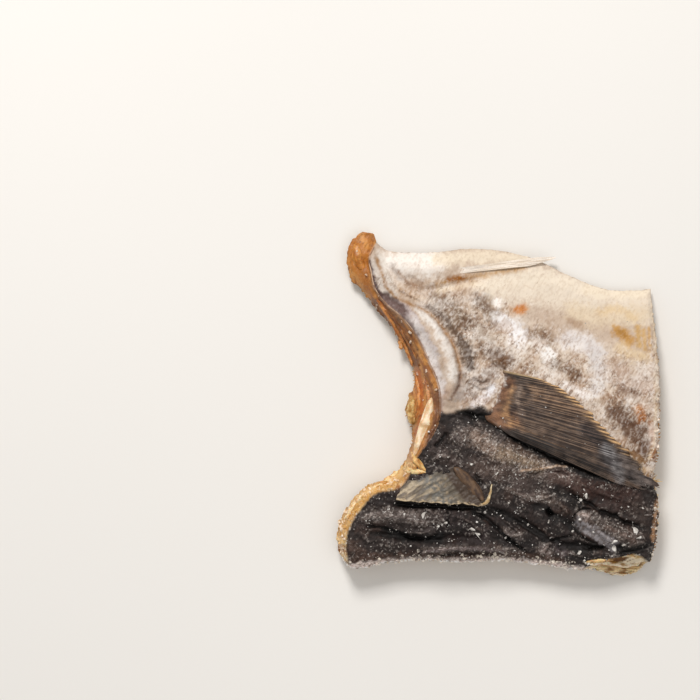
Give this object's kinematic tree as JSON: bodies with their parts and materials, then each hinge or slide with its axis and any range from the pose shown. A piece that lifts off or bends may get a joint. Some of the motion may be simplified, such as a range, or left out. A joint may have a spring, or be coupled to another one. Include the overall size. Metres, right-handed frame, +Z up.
{
  "type": "dried salted saithe cutlet",
  "caption": "Head-end cutlet of split, salted and dried saithe, lying skin side up, with its pectoral and pelvic fins dried flat onto the skin.",
  "frame": {"origin": "middle of the outline, on the surface that the cutlet lies on", "axes": "+X from the head end to the tail end, +Y from the back to the belly margin, +Z up, out of the skin"},
  "size_m": [0.106, 0.1124, 0.0152],
  "materials": {
    "dried_skin": "dry, leathery fish skin: pale frosted belly and flank, brown-black back, salt crystals",
    "dried_flesh": "fibrous salted flesh, cream to amber, slightly glossy where it dried hard",
    "fin": "dried fin web and rays, brown-grey, with golden ray tips",
    "salt": "coarse salt crystals, whitish and faintly translucent"
  },
  "bodies": {
    "root": {"cutlet": "dried_skin"}
  },
  "joints": []
}
